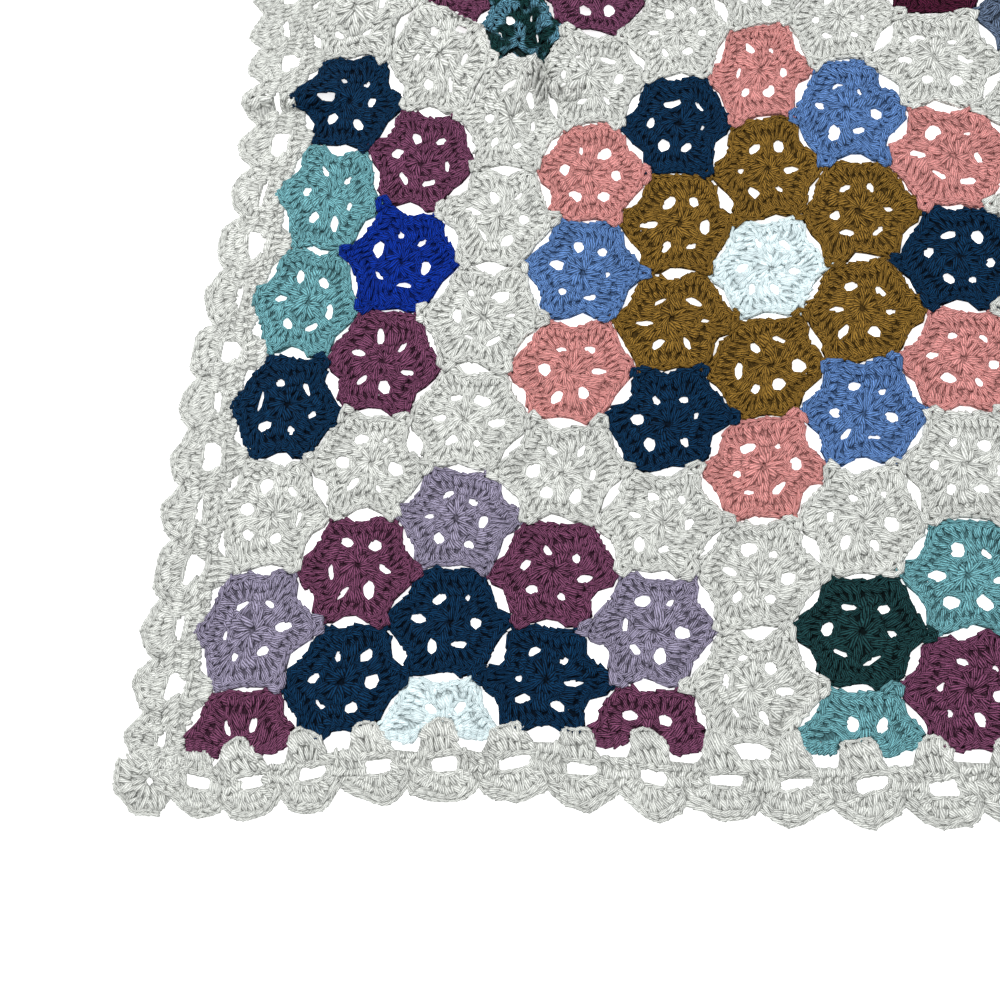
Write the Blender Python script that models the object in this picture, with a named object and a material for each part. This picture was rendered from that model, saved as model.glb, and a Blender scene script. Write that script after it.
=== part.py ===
"""A crocheted blanket of joined hexagon motifs with a scalloped edging, lying on a flat surface.

The pattern is first laid out flat and regular, in metres: motifs in upright columns, every other column
half a motif lower, a whole motif at the middle. Then lie() gives each point its place in the cloth as it
lies: pulled a little out of true, flat underneath, and pushed up into three soft folds.
"""

import math
import random

import bpy
import numpy as np
from mathutils import Vector
from mathutils.geometry import delaunay_2d_cdt

# Motifs: regular hexagons with a flat side up.
PITCH = 0.080  # from flat side to flat side
CORNER = PITCH / math.sqrt(3)  # from the middle to a corner
COLUMN_STEP = 1.5 * CORNER
COLUMNS = 11
ROWS = 9
THICK = 0.004  # crocheted fabric of medium yarn

# Gaps between two motifs, which are joined at their corners only.
GAP_LONG = 0.028
GAP_SHUT, GAP_WIDE = 0.0002, 0.0090  # the narrowest and the widest
GAP_LEAST = 0.0040  # narrower ones are drawn shut
GAP_SEED = 11006
LENS = ((0, 0), (0.2, 0.5), (0.8, 0.5), (1, 0), (0.8, -0.5), (0.2, -0.5))  # shares along, and widths out
BY_DOME = 0.32  # share of a side that stays joined where it ends at one of the edging's domes
CUT_EDGE = ROWS / 2 * PITCH  # from the middle to the half motifs' cut edges

# Edging: domes of stitches that reach in between the motifs, a row of windows, and shells that make the
# scallops. A scallop stands over each dome, or over each corner and notch of the upright sides.
EDGE_X = 0.432  # from the middle to the scallops' peaks
EDGE_Y = 0.410
SIDES = {
    # turn in degrees, scallops, their step, how far the last ones crowd inwards, creep along the side,
    # from a peak to its window's outer side
    "near": (0, 18, CORNER, 0.014, 0.006, 0.0238),
    "right": (90, 19, PITCH / 2, 0.006, 0.0, 0.0268),
    "far": (180, 18, CORNER, 0.014, 0.0, 0.0238),
    "left": (270, 19, PITCH / 2, 0.006, 0.0, 0.0268),
}
SCALLOP_DEEP = 0.0125
SCALLOP_BEND = 1.7  # its outline is a power curve: 2 would be a parabola, 1 a zigzag
SCALLOP_POINTS = 5
CORNER_SHELL = 0.024  # radius of the shell that turns a corner
CORNER_TURN = (-120, -95, -70, -45, -20, 5, 30)  # the directions of its points, in degrees
WINDOW_LONG = 0.0210
WINDOW_DEEP, NOTCH_WINDOW_DEEP, PUSHED_WINDOW_DEEP = 0.0085, 0.0145, 0.0055
CORNER_WINDOW = 0.0065
DOME = 0.0111  # radius of a dome
LEG = 0.0040  # how far a half motif reaches out past its cut edge on both sides of a dome
BAY_GAP = 0.0070  # the opening in front of each motif between two domes
SEAM = 0.0003  # between the motifs and the edging
DIP = 0.0030  # how far each side of that seam stands back at the middle of a motif's slanted side

# Where the cloth is pulled out of true: the middle of the pull, its reach, and how far it moves there.
PULLS = [
    # x, y, reach, right, away
    (-0.346, 0.160, 0.11, 0.012, 0.023),
    (-0.430, 0.050, 0.11, 0.010, 0.020),
    (-0.430, -0.120, 0.11, -0.003, 0.001),
    (-0.400, -0.330, 0.11, -0.004, -0.018),
    (-0.250, 0.190, 0.09, 0.012, -0.005),
    (-0.200, 0.040, 0.11, 0.006, 0.000),
    (-0.210, -0.120, 0.11, -0.005, -0.008),
    (-0.240, -0.360, 0.11, -0.003, 0.001),
    (-0.060, 0.030, 0.11, 0.004, -0.010),
    (-0.080, -0.120, 0.11, 0.005, -0.005),
    (0.100, 0.190, 0.11, -0.018, 0.010),
    (0.140, -0.360, 0.11, -0.002, 0.006),
    (-0.340, -0.400, 0.05, 0.000, -0.009),
    (-0.140, -0.400, 0.06, 0.000, 0.006),
]

# Folds: the crest runs along a curve through its start and end, bent towards a middle point. A side's
# width is measured square to the crest, and a tail is the share of the length in which an end fades.
FOLDS = [
    # start, middle, end, height, near_width, far_width, first_tail, last_tail
    ((-0.378, 0.250), (-0.262, 0.216), (-0.166, 0.138), 0.022, 0.050, 0.020, 0.25, 0.12),
    ((-0.156, 0.140), (-0.162, 0.190), (-0.185, 0.290), 0.013, 0.045, 0.018, 0.10, 0.45),
    ((-0.450, 0.153), (-0.380, 0.150), (-0.315, 0.152), 0.010, 0.012, 0.030, 0.02, 0.35),
]
CREST_STEPS = 60
FOLD_GRID = 0.010  # spacing of the extra points that round a fold
CLEAR_OF_EDGES = 0.0025

OATMEAL = (0.60, 0.59, 0.55)
ICE_BLUE = (0.64, 0.78, 0.82)


def height(x, y):
    """How high the folds lift the cloth at each place."""
    total = np.zeros_like(x)
    for start, middle, end, high, near, far, first_tail, last_tail in FOLDS:
        t = np.linspace(0, 1, CREST_STEPS)[:, None]
        crest = (1 - t) ** 2 * np.array(start) + 2 * t * (1 - t) * np.array(middle) + t**2 * np.array(end)
        along = np.gradient(crest, axis=0)
        off_x, off_y = x[:, None] - crest[:, 0], y[:, None] - crest[:, 1]
        nearest = np.argmin(off_x**2 + off_y**2, axis=1)
        off_x, off_y = off_x[np.arange(len(x)), nearest], off_y[np.arange(len(x)), nearest]
        far_side = along[nearest, 0] * off_y - along[nearest, 1] * off_x > 0
        across = np.clip(np.hypot(off_x, off_y) / np.where(far_side, far, near), 0, 1)
        share = nearest / (CREST_STEPS - 1)
        fade = np.clip(share / first_tail, 0, 1) * np.clip((1 - share) / last_tail, 0, 1)
        fade = fade * fade * (3 - 2 * fade)
        total += (high * fade * (1 + np.cos(math.pi * across)) / 2) ** 4
    return total**0.25


def lie(points):
    """The places in the lying cloth's underside of points of the flat pattern."""
    x, y = np.array(points, float).T
    right, away = np.zeros_like(x), np.zeros_like(y)
    for at_x, at_y, reach, pull_right, pull_away in PULLS:
        share = np.exp(-((x - at_x) ** 2 + (y - at_y) ** 2) / reach**2)
        right += pull_right * share
        away += pull_away * share
    x, y = x + right, y + away
    return np.stack([x, y, height(x, y)], axis=1)


def upright(points):
    """How much taller the sheet is than thick at each place, where it slopes."""
    step = 0.0005
    slope = [(lie(points + np.array(d)) - lie(points - np.array(d)))[:, 2] / (2 * step)
             for d in ((step, 0.0), (0.0, step))]
    return np.minimum(np.sqrt(1 + slope[0] ** 2 + slope[1] ** 2), 1.7)


def motifs():
    """{(column, row): middle} of all motifs. The half motifs are those in rows -4.5 and 4.5."""
    found = {}
    for column in range(COLUMNS):
        count = ROWS if column % 2 else ROWS + 1
        for i in range(count):
            row = i - (count - 1) / 2
            found[column, row] = ((column - COLUMNS // 2) * COLUMN_STEP, -row * PITCH)
    return found


def corner(middle, k):
    turn = math.radians(60 * k)
    return (middle[0] + CORNER * math.cos(turn), middle[1] + CORNER * math.sin(turn))


def neighbour(column, row, side):
    """The motif beyond a side; side 0 looks up and right, and they go round anticlockwise."""
    step = [(1, -0.5), (0, -1), (-1, -0.5), (-1, 0.5), (0, 1), (1, 0.5)][side]
    return (column + step[0], row + step[1])


def sides(row):
    """The sides that a motif has; a half motif has three and a cut edge."""
    last = ROWS / 2
    return {last: (0, 1, 2), -last: (3, 4, 5)}.get(row, range(6))


def across(a, b, share, out):
    """The point at that share of the way from a to b, and out to the right of it."""
    a, b = np.array(a), np.array(b)
    right = np.array([b[1] - a[1], a[0] - b[0]]) / np.linalg.norm(b - a)
    return tuple(a + share * (b - a) + out * right)


def motif_gaps(places):
    """The lens-shaped gaps along the motifs' shared sides."""
    chance = random.Random(GAP_SEED)
    gaps = []
    for (column, row), middle in places.items():
        for side in sides(row):
            if side < 3 and neighbour(column, row, side) in places:
                wide = chance.uniform(GAP_SHUT, GAP_WIDE)
                a, b = corner(middle, side), corner(middle, side + 1)
                joined = (1 - GAP_LONG / CORNER) / 2
                first, last = (BY_DOME if abs(end[1]) > CUT_EDGE - 0.001 else joined for end in (a, b))
                if wide >= GAP_LEAST:
                    gaps.append([across(a, b, first + t * (1 - first - last), out * wide) for t, out in LENS])
    return gaps


def field_edge(places):
    """The motifs' outer sides and cut edges, anticlockwise, as (start, end)."""
    found = {}
    for (column, row), middle in places.items():
        own = [(side, side + 1) for side in sides(row) if neighbour(column, row, side) not in places]
        cut = {ROWS / 2: [(3, 0)], -ROWS / 2: [(0, 3)]}
        for first, last in own + cut.get(row, []):
            a, b = corner(middle, first), corner(middle, last)
            found[round(a[0], 5), round(a[1], 5)] = (a, b)
    chain = []
    at = next(iter(found))
    while at in found:
        a, b = found.pop(at)
        chain.append((a, b))
        at = (round(b[0], 5), round(b[1], 5))
    return chain


def level(a, b):
    return abs(a[1] - b[1]) < 0.001


def seam_line(chain, dip, bay_gap):
    """The seam between the motifs and the edging. It goes round each dome, out to each half motif's legs,
    and further out by dip or bay_gap where the cloth is open."""
    line = []
    for i, (a, b) in enumerate(chain):
        before = chain[i - 1]
        if not level(a, b):
            line.append(a)
            line += [across(a, b, share, out * dip) for share, out in ((0.3, 0), (0.4, 1), (0.6, 1), (0.7, 0))]
            continue
        bays = round(math.dist(a, b) / CORNER)
        for bay in range(bays):
            start, end = across(a, b, bay / bays, 0), across(a, b, (bay + 1) / bays, 0)
            if bay or level(*before):
                line += [across(start, end, u * DOME / CORNER, -v * DOME)
                         for u, v in ((-0.82, 0.45), (-0.35, 0.92), (0.35, 0.92), (0.82, 0.45))]
            else:
                line.append(start)
            out = LEG if bays == 2 else 0.0
            near = DOME / CORNER
            line.append(across(start, end, near, out))
            if bay_gap:
                line += [across(start, end, share, out + bay_gap) for share in (near + 0.07, 0.93 - near)]
            line.append(across(start, end, 1 - near, out))
    return line


def widened(loop, by):
    """An anticlockwise loop with each side moved out by that much."""
    moved = []
    for i, at in enumerate(loop):
        before, after = loop[i - 1], loop[(i + 1) % len(loop)]
        first, second = (np.array(across(p, q, 0, 1)) - np.array(p) for p, q in ((before, at), (at, after)))
        moved.append(tuple(np.array(at) + by * (first + second) / (1 + first @ second)))
    return moved


def scallops(count, step, crowd, creep):
    """The middles of one side's scallops, as places along it."""
    last = (count - 1) / 2 * step
    places = [(k - (count - 1) / 2) * step for k in range(count)]
    return [s - crowd * s / last * abs(s / last) ** 5 + creep for s in places]


def edging_outline():
    """The scalloped outer edge, anticlockwise from the near left corner, and the windows behind it."""
    outline, windows = [], []
    for side, (degrees, count, step, crowd, creep, window_in) in SIDES.items():
        c, s = round(math.cos(math.radians(degrees))), round(math.sin(math.radians(degrees)))
        across_side = side in ("near", "far")
        deep, long = (EDGE_Y, EDGE_X) if across_side else (EDGE_X, EDGE_Y)

        def put(along, inwards):
            x, y = along, inwards - deep
            return (c * x - s * y, s * x + c * y)

        shell, small = long - CORNER_SHELL, CORNER_WINDOW / 2
        middles = scallops(count, step, crowd, creep)
        stops = [-shell, *middles, shell]
        dips = [(a + b) / 2 for a, b in zip(stops, stops[1:])]
        for k in range(count):
            middle, half = (dips[k] + dips[k + 1]) / 2, (dips[k + 1] - dips[k]) / 2
            for j in range(SCALLOP_POINTS):
                share = 2 * j / SCALLOP_POINTS - 1
                outline.append(put(middle + half * share, SCALLOP_DEEP * abs(share) ** SCALLOP_BEND))
            tall = WINDOW_DEEP
            if not across_side:
                tall = PUSHED_WINDOW_DEEP if (k - count // 2) % 2 else NOTCH_WINDOW_DEEP
            windows.append([put(middles[k] + u * WINDOW_LONG, window_in + v * tall)
                            for u, v in ((-0.44, 0), (0.44, 0), (0.5, 1), (-0.5, 1))])
        outline.append(put(dips[-1], SCALLOP_DEEP))
        for a in map(math.radians, CORNER_TURN):
            outline.append(put(shell + CORNER_SHELL * math.cos(a), CORNER_SHELL * (1 + math.sin(a))))
        windows.append([put(shell + u * small, CORNER_SHELL + v * small)
                        for u, v in ((1, 0), (0, 1), (-1, 0), (0, -1))])
    return outline, windows


def inside(points, loop):
    """Which points lie inside a closed loop."""
    a = np.array(loop)
    b = np.roll(a, -1, axis=0)
    x, y = points[:, :1], points[:, 1:]
    crossing = (a[:, 1] > y) != (b[:, 1] > y)
    with np.errstate(divide="ignore", invalid="ignore"):
        cut = a[:, 0] + (y - a[:, 1]) * (b[:, 0] - a[:, 0]) / (b[:, 1] - a[:, 1])
    return (crossing & (x < cut)).sum(axis=1) % 2 == 1


def clear_of(points, loops):
    """Which points stand well clear of every loop."""
    best = np.full(len(points), np.inf)
    for loop in loops:
        a = np.array(loop)
        d = np.roll(a, -1, axis=0) - a
        off = points[:, None] - a
        t = np.clip((off * d).sum(2) / (d * d).sum(1), 0, 1)
        best = np.minimum(best, np.linalg.norm(off - t[:, :, None] * d, axis=2).min(axis=1))
    return best > CLEAR_OF_EDGES


def fold_points(outer, holes):
    """Extra points where a fold lifts the cloth, so that it is rounded there."""
    x, y = np.meshgrid(np.arange(-EDGE_X, EDGE_X, FOLD_GRID), np.arange(-EDGE_Y, EDGE_Y, FOLD_GRID))
    x[::2] += FOLD_GRID / 2
    grid = np.stack([x.ravel(), y.ravel()], axis=1)
    grid = grid[lie(grid)[:, 2] > 0.0002]
    grid = grid[inside(grid, outer)]
    for hole in holes:
        grid = grid[~inside(grid, hole)]
    return grid[clear_of(grid, [outer, *holes])]


def sheet(name, outer, holes, colour, roughness):
    """A closed solid sheet with that outline and those holes, lying as the cloth lies."""
    loops = [outer, *holes]
    extra = fold_points(outer, holes)
    flat = np.concatenate([np.array(loop) for loop in loops] + [extra])
    faces, start = [], 0
    for loop in loops:
        faces.append(list(range(start, start + len(loop))))
        start += len(loop)
    corners, _, triangles, _, _, source = delaunay_2d_cdt([Vector(p) for p in flat], [], faces, 1, 1e-6)
    flat = np.array([tuple(v) for v in corners])
    kept = [t for t, of in zip(triangles, source) if not any(i > 0 for i in of)]
    tri = np.array(kept)
    a, b, c = (flat[tri[:, i]] for i in range(3))
    turned = (b[:, 0] - a[:, 0]) * (c[:, 1] - a[:, 1]) < (b[:, 1] - a[:, 1]) * (c[:, 0] - a[:, 0])
    tri[turned] = tri[turned][:, ::-1]
    under = lie(flat)
    over = under + np.outer(THICK * upright(flat), (0, 0, 1))
    n = len(flat)
    edges = {}
    for t in tri.tolist():
        for p, q in ((t[0], t[1]), (t[1], t[2]), (t[2], t[0])):
            edges[p, q] = True
    rim = [(p, q) for p, q in edges if (q, p) not in edges]
    walls = [(p, q, q + n, p + n) for p, q in rim]
    mesh = bpy.data.meshes.new(name)
    mesh.from_pydata(np.concatenate([under, over]).tolist(), [],
                     tri[:, ::-1].tolist() + (tri + n).tolist() + walls)
    mesh.validate()
    mesh.update()
    material = bpy.data.materials.new(name + "_yarn")
    material.use_nodes = True
    shader = material.node_tree.nodes["Principled BSDF"]
    shader.inputs["Base Color"].default_value = (*colour, 1)
    shader.inputs["Roughness"].default_value = roughness
    shader.inputs["Metallic"].default_value = 0.0
    mesh.materials.append(material)
    piece = bpy.data.objects.new(name, mesh)
    bpy.context.collection.objects.link(piece)
    return piece


def build():
    for old in list(bpy.data.objects):
        bpy.data.objects.remove(old)
    places = motifs()
    chain = field_edge(places)
    outline, windows = edging_outline()
    field = sheet("joined_motifs", seam_line(chain, -DIP, 0.0), motif_gaps(places), ICE_BLUE, 0.9)
    inner = widened(seam_line(chain, DIP, BAY_GAP), SEAM)
    edging = sheet("scalloped_edging", outline, [inner, *windows], OATMEAL, 0.9)
    # The origin goes under the middle of the whole blanket.
    reach = np.array([v.co for piece in (field, edging) for v in piece.data.vertices])
    middle = (reach.min(axis=0) + reach.max(axis=0)) / 2
    for piece in (field, edging):
        for v in piece.data.vertices:
            v.co.x -= middle[0]
            v.co.y -= middle[1]
        piece.data.update()


build()
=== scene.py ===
"""A crocheted blanket of joined hexagon motifs with a scalloped edging, lying flat with a few soft folds.

Every stitch is worked out in the flat pattern first, in metres, where the motifs are regular hexagons in
upright columns. Then lay() puts it onto the cloth as it lies.
"""

import math
import random

import bmesh
import bpy
import numpy as np
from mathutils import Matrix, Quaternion, Vector


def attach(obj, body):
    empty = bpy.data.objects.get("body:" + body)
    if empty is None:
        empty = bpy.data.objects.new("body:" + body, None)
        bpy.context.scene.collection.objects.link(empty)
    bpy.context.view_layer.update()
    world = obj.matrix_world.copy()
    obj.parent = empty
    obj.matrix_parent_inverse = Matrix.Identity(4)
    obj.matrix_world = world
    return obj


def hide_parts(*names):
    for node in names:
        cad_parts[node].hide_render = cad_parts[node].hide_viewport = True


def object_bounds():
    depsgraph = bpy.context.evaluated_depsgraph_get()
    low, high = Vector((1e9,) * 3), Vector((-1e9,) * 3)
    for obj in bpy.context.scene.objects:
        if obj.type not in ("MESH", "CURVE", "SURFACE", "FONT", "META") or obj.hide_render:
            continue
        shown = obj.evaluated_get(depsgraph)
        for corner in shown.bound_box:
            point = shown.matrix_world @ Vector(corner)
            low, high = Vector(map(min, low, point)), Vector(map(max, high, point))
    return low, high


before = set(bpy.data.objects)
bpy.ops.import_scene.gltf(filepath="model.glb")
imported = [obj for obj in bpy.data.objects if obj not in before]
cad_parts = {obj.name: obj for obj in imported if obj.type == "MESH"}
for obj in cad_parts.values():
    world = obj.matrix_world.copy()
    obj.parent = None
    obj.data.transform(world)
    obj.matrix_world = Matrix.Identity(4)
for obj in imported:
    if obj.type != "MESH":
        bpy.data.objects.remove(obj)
cad_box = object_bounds()

# ---- How the cloth lies ----------------------------------------------
# The real blanket was spread out by hand, so its motifs are pulled a little out of true, and three soft
# folds run over its far left part. Pulls and folds are those of the frame's solids; here the folds lean
# over as well, which the solids leave out.
PITCH = 0.080
CORNER = PITCH / math.sqrt(3)
COLUMN_STEP = 1.5 * CORNER
COLUMNS, ROWS = 11, 9
EDGE_X, EDGE_Y = 0.432, 0.410
PULLS = [
    # x, y, reach, right, away
    (-0.346, 0.160, 0.11, 0.012, 0.023),
    (-0.430, 0.050, 0.11, 0.010, 0.020),
    (-0.430, -0.120, 0.11, -0.003, 0.001),
    (-0.400, -0.330, 0.11, -0.004, -0.018),
    (-0.250, 0.190, 0.09, 0.012, -0.005),
    (-0.200, 0.040, 0.11, 0.006, 0.000),
    (-0.210, -0.120, 0.11, -0.005, -0.008),
    (-0.240, -0.360, 0.11, -0.003, 0.001),
    (-0.060, 0.030, 0.11, 0.004, -0.010),
    (-0.080, -0.120, 0.11, 0.005, -0.005),
    (0.100, 0.190, 0.11, -0.018, 0.010),
    (0.140, -0.360, 0.11, -0.002, 0.006),
    (-0.340, -0.400, 0.05, 0.000, -0.009),
    (-0.140, -0.400, 0.06, 0.000, 0.006),
]
FOLDS = [
    # start, middle, end, height, near_width, far_width, first_tail, last_tail, lean to the far side
    ((-0.378, 0.250), (-0.262, 0.216), (-0.166, 0.138), 0.022, 0.050, 0.020, 0.25, 0.12, 0.50),
    ((-0.156, 0.140), (-0.162, 0.190), (-0.185, 0.290), 0.013, 0.045, 0.018, 0.10, 0.45, 0.30),
    ((-0.450, 0.153), (-0.380, 0.150), (-0.315, 0.152), 0.010, 0.012, 0.030, 0.02, 0.35, -0.50),
]
CREST_STEPS = 60
FOLD_BLEND = 4  # where folds meet, the larger this is, the less the lower one adds to the higher
SLOPE_STEP = 0.0004  # how far to either side the slope of the cloth is measured
WAVE_TURN = 1.3  # in radians, from the way an unevenness runs to the way it moves the stitches
# Where the pattern's middle is from the frame's, measured at the far right, where nothing is pulled.
MIDDLE = np.array([EDGE_X - cad_box[1][0], EDGE_Y - cad_box[1][1]])

hand = random.Random(31)
UNEVEN = [
    # length, size, heading, phase
    (length, size, hand.uniform(0, math.tau), hand.uniform(0, math.tau))
    for length, size in ((0.060, 0.0012), (0.041, 0.0010), (0.029, 0.0008), (0.022, 0.0007), (0.017, 0.0005))
    for _ in range(2)
]


def under(x, y):
    """The underside of the cloth where the folds have lifted and leaned it."""
    lifted, lean = np.zeros_like(x), np.zeros((len(x), 2))
    for start, middle, end, high, near, far, first_tail, last_tail, over in FOLDS:
        t = np.linspace(0, 1, CREST_STEPS)[:, None]
        crest = (1 - t) ** 2 * np.array(start) + 2 * t * (1 - t) * np.array(middle) + t**2 * np.array(end)
        along = np.gradient(crest, axis=0)
        spacing = np.linalg.norm(along, axis=1)
        along /= spacing[:, None]
        least, most = crest.min(axis=0) - max(near, far), crest.max(axis=0) + max(near, far)
        close = np.flatnonzero((x > least[0]) & (x < most[0]) & (y > least[1]) & (y < most[1]))
        off_x, off_y = x[close, None] - crest[:, 0], y[close, None] - crest[:, 1]
        nearest = np.argmin(off_x**2 + off_y**2, axis=1)
        row = np.arange(len(close))
        off_x, off_y, along = off_x[row, nearest], off_y[row, nearest], along[nearest]
        ahead = along[:, 0] * off_x + along[:, 1] * off_y
        aside = along[:, 0] * off_y - along[:, 1] * off_x
        across = np.clip(np.abs(aside) / np.where(aside > 0, far, near), 0, 1)
        share = (nearest + ahead / spacing[nearest]) / (CREST_STEPS - 1)
        fade = np.clip(share / first_tail, 0, 1) * np.clip((1 - share) / last_tail, 0, 1)
        rise = high * fade * fade * (3 - 2 * fade) * (1 + np.cos(math.pi * across)) / 2
        lifted[close] += rise**FOLD_BLEND
        lean[close] += (over * rise * fade)[:, None] * np.stack([-along[:, 1], along[:, 0]], axis=1)
    return np.stack([x + lean[:, 0], y + lean[:, 1], lifted ** (1 / FOLD_BLEND)], axis=1)


def settle(points):
    """Points of the pulled cloth, with their height above its underside, as they lie in the end: moved a
    millimetre or two, as no two stitches are alike, and set square on the folds."""
    x, y, z = points.T
    for length, size, heading, phase in UNEVEN:
        wave = size * np.sin(math.tau * (x * math.cos(heading) + y * math.sin(heading)) / length + phase)
        x, y = x + wave * math.cos(heading + WAVE_TURN), y + wave * math.sin(heading + WAVE_TURN)
    along_x = under(x + SLOPE_STEP, y) - under(x - SLOPE_STEP, y)
    along_y = under(x, y + SLOPE_STEP) - under(x, y - SLOPE_STEP)
    up = np.cross(along_x, along_y)
    place = under(x, y) + z[:, None] * up / np.linalg.norm(up, axis=1)[:, None]
    place[:, :2] -= MIDDLE
    return place


def lay(points):
    """Points of the flat pattern as they lie in the end."""
    x, y, z = np.array(points, float).T
    right, away = np.zeros_like(x), np.zeros_like(y)
    for at_x, at_y, reach, pull_right, pull_away in PULLS:
        share = np.exp(-((x - at_x) ** 2 + (y - at_y) ** 2) / reach**2)
        right += pull_right * share
        away += pull_away * share
    return settle(np.stack([x + right, y + away, z], axis=1))


def move_points(mesh, how):
    points = np.empty(len(mesh.vertices) * 3, np.float32)
    mesh.vertices.foreach_get("co", points)
    mesh.vertices.foreach_set("co", how(points.reshape(-1, 3).astype(float)).astype(np.float32).ravel())
    mesh.update()


# ---- The motifs and their colours ------------------------------------
# Each motif is a hexagon crocheted in two rounds from its middle. They are set out as a flower garden: a
# middle motif, a ring of six and a ring of twelve make a flower, on an off-white ground.
YARNS = {
    # name: (colour in sRGB, second colour of a mottled yarn)
    "oatmeal": ((220, 222, 216), None),
    "ice_blue": ((233, 250, 252), None),
    "mustard": ((127, 96, 38), None),
    "rose": ((212, 143, 139), None),
    "cornflower": ((90, 126, 180), None),
    "navy": ((6, 44, 74), None),
    "plum": ((110, 62, 90), None),
    "teal": ((108, 164, 171), None),
    "royal": ((6, 44, 142), None),
    "lavender": ((147, 140, 163), None),
    "pine": ((24, 58, 60), None),
    "mottled": ((16, 52, 52), (88, 136, 156)),
    "maroon": ((70, 20, 44), None),
    "slate": ((96, 112, 136), None),
}
RING = [(0, -1), (-1, -0.5), (-1, 0.5), (0, 1), (1, 0.5), (1, -0.5)]  # steps to a motif's six neighbours
FLOWERS = [
    # column, row, middle, first ring, second ring's tips, and between them by turns
    (5, 0, "ice_blue", "mustard", "rose", "navy", "cornflower"),
    (-1, 0, "mustard", "teal", "plum", "royal", "navy"),
    (2, 4.5, "ice_blue", "navy", "lavender", "plum", "plum"),
    (8, 4.5, "ice_blue", "plum", "pine", "teal", "teal"),
    (2, -4.5, "ice_blue", "rose", "mottled", "plum", "plum"),
    (8, -4.5, "rose", "navy", "slate", "maroon", "maroon"),
    (11, 0, "ice_blue", "lavender", "teal", "rose", "pine"),
]


def motif_table():
    """{(column, row): (middle, yarn, turn)}, where the turn tells the order in which they were worked."""
    found = {}
    for column in range(COLUMNS):
        count = ROWS if column % 2 else ROWS + 1
        for i in range(count):
            row = i - (count - 1) / 2
            found[column, row] = (((column - COLUMNS // 2) * COLUMN_STEP, -row * PITCH), "oatmeal", 3)
    for column, row, middle, ring, tip, *between in FLOWERS:
        places = {(column, row): (middle, 0)}
        for k, (c, r) in enumerate(RING):
            after = RING[(k + 1) % 6]
            places[column + c, row + r] = (ring, 1)
            places[column + 2 * c, row + 2 * r] = (tip, 2)
            places[column + c + after[0], row + r + after[1]] = (between[k % 2], 2)
        for place in places.keys() & found.keys():
            found[place] = (found[place][0], *places[place])
    return found


motifs = motif_table()
CENTRES = np.array([centre for centre, _, _ in motifs.values()])
YARN_OF = [yarn for _, yarn, _ in motifs.values()]
# 1 for a half motif at the near side, whose cut edge looks to the near side, -1 for one at the far side.
HALF = np.array([{ROWS / 2: 1, -ROWS / 2: -1}.get(row, 0) for _, row in motifs])

# The gap along each side is shared by two motifs: each stands back from it by half its width.
GAP_SHUT, GAP_WIDE, GAP_SEED = 0.0002, 0.0090, 11006
OUTER_SAG = 0.0030


def side_sags():
    """How far the middle of each motif's six sides stands back, anticlockwise from the upper right side."""
    chance = random.Random(GAP_SEED)
    steps = [(1, -0.5), (0, -1), (-1, -0.5), (-1, 0.5), (0, 1), (1, 0.5)]
    own = {ROWS / 2: (0, 1, 2), -ROWS / 2: (3, 4, 5)}
    sags = dict.fromkeys(((column, row, side) for column, row in motifs for side in range(6)), OUTER_SAG)
    for column, row in motifs:
        for side in own.get(row, range(6)):
            other = (column + steps[side][0], row + steps[side][1])
            if side < 3 and other in motifs:
                sags[column, row, side] = sags[(*other, side + 3)] = chance.uniform(GAP_SHUT, GAP_WIDE) / 2
    return np.array(list(sags.values())).reshape(-1, 6)


# How far a motif stands back at a corner where another is joined over it, and where it meets no other.
BLUNT, TIP_BLUNT = 0.0018, 0.0042


def joining_corners():
    """Whether each motif is the one that is joined over the others at each of its corners, which is the
    one worked last where three meet, and how far it stands back there if it isn't."""
    meeting = {}
    for i, ((x, y), _, turn) in enumerate(motifs.values()):
        for k in range(6):
            at = (x + CORNER * math.cos(k * math.pi / 3), y + CORNER * math.sin(k * math.pi / 3))
            meeting.setdefault(tuple(round(v, 4) for v in at), []).append((turn, rng.random(), i, k))
    joins, back = np.zeros((len(motifs), 6), bool), np.full((len(motifs), 6), BLUNT)
    for group in meeting.values():
        _, _, i, k = max(group)
        joins[i, k] = len(group) == 3
        back[i, k] = {1: TIP_BLUNT, 2: BLUNT, 3: 0.0}[len(group)]
    return joins, back


SAGS = side_sags()
rng = np.random.default_rng(12)
JOINS, BACK = joining_corners()
TWIST = np.radians(rng.uniform(-16, 2, len(motifs)))  # the first round sits turned against the second
INNER = 0.042  # the radius that a share of the way out counts from near the middle
OVERLAP = 0.0012  # neighbours' rims lie this far over the line between them where they are joined
TWIST_FADES, ROUND_FADES = (0.50, 0.95), (0.45, 0.90)  # from and to a share of the way out
GAP_FADES, BLUNT_GROWS = (0.36, 0.64), (0.75, 1.00)  # from and to a share of the way along half a side
HOLE_OUT, HOLE_REACH = 0.48, 0.0095  # a share of the way out, and how far round a hole it is stretched
# How much each of a motif's six holes is stretched outwards and sideways, and how far it is shifted.
HOLE_STRETCH = rng.uniform((-0.70, -0.65), (0.60, 0.60), (len(motifs), 6, 2))
HOLE_SHIFT = rng.uniform(-0.0018, 0.0018, (len(motifs), 6, 2))


def smooth(x, low, high):
    t = np.clip((x - low) / (high - low), 0, 1)
    return t * t * (3 - 2 * t)


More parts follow.
